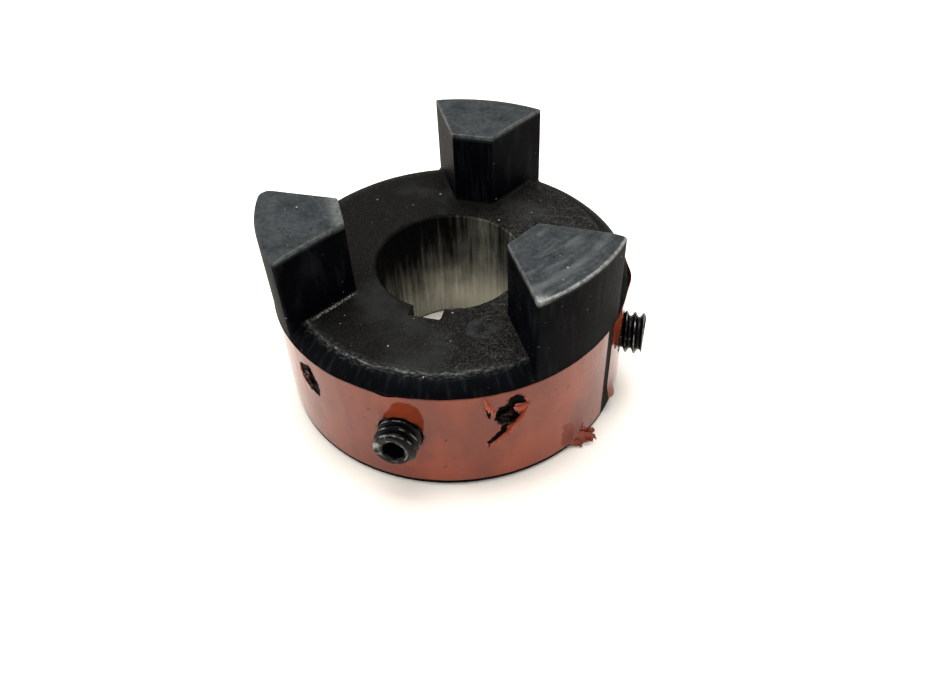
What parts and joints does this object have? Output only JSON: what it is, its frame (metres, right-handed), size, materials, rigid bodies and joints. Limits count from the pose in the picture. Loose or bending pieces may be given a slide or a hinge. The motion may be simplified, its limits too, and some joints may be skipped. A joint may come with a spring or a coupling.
{
  "type": "jaw coupling hub",
  "caption": "Cast iron jaw coupling hub with three jaws, a keyed bore, two radial set screws and a torn red label film round its rim.",
  "frame": {"origin": "centre of the bore at the hub's back face", "axes": "+Z along the bore from the back face towards the jaws, one jaw on +Y, keyway and front set screw on -Y, side set screw on +X"},
  "size_m": [0.0571, 0.0571, 0.0329],
  "materials": {
    "hub_iron": "dark oxidised casting with bare bore and worn edges",
    "label_film": "glossy printed film, torn and wrinkled",
    "screw_steel": "black oxide with worn thread crests"
  },
  "bodies": {
    "hub": {"hub_body": "hub_iron", "rim_label": "label_film"},
    "front_cup_point": {"front_set_screw_cup_point": "screw_steel"},
    "front_screw": {"front_set_screw": "screw_steel"},
    "side_cup_point": {"side_set_screw_cup_point": "screw_steel"},
    "side_screw": {"side_set_screw": "screw_steel"}
  },
  "joints": [
    {"name": "front_screw_travel", "type": "slide", "parent": "hub", "child": "front_cup_point", "axis": [0, -1, 0], "range_m": [-0.00857, 0.00317]},
    {"name": "front_screw_turn", "type": "hinge", "parent": "front_cup_point", "child": "front_screw", "pos_m": [0, -0.0268, 0.0111], "axis": [0, -1, 0], "range_deg": [-2430.5, 900.5]},
    {"name": "side_screw_travel", "type": "slide", "parent": "hub", "child": "side_cup_point", "axis": [1, 0, 0], "range_m": [-0.0108, 0.00317]},
    {"name": "side_screw_turn", "type": "hinge", "parent": "side_cup_point", "child": "side_screw", "pos_m": [0.0268, 0, 0.0111], "axis": [1, 0, 0], "range_deg": [-3060.5, 900.5]}
  ],
  "couplings": [
    {"joint": "front_screw_turn", "follows": "front_screw_travel", "rad_per_m": 4947.4},
    {"joint": "side_screw_turn", "follows": "side_screw_travel", "rad_per_m": 4947.4}
  ]
}
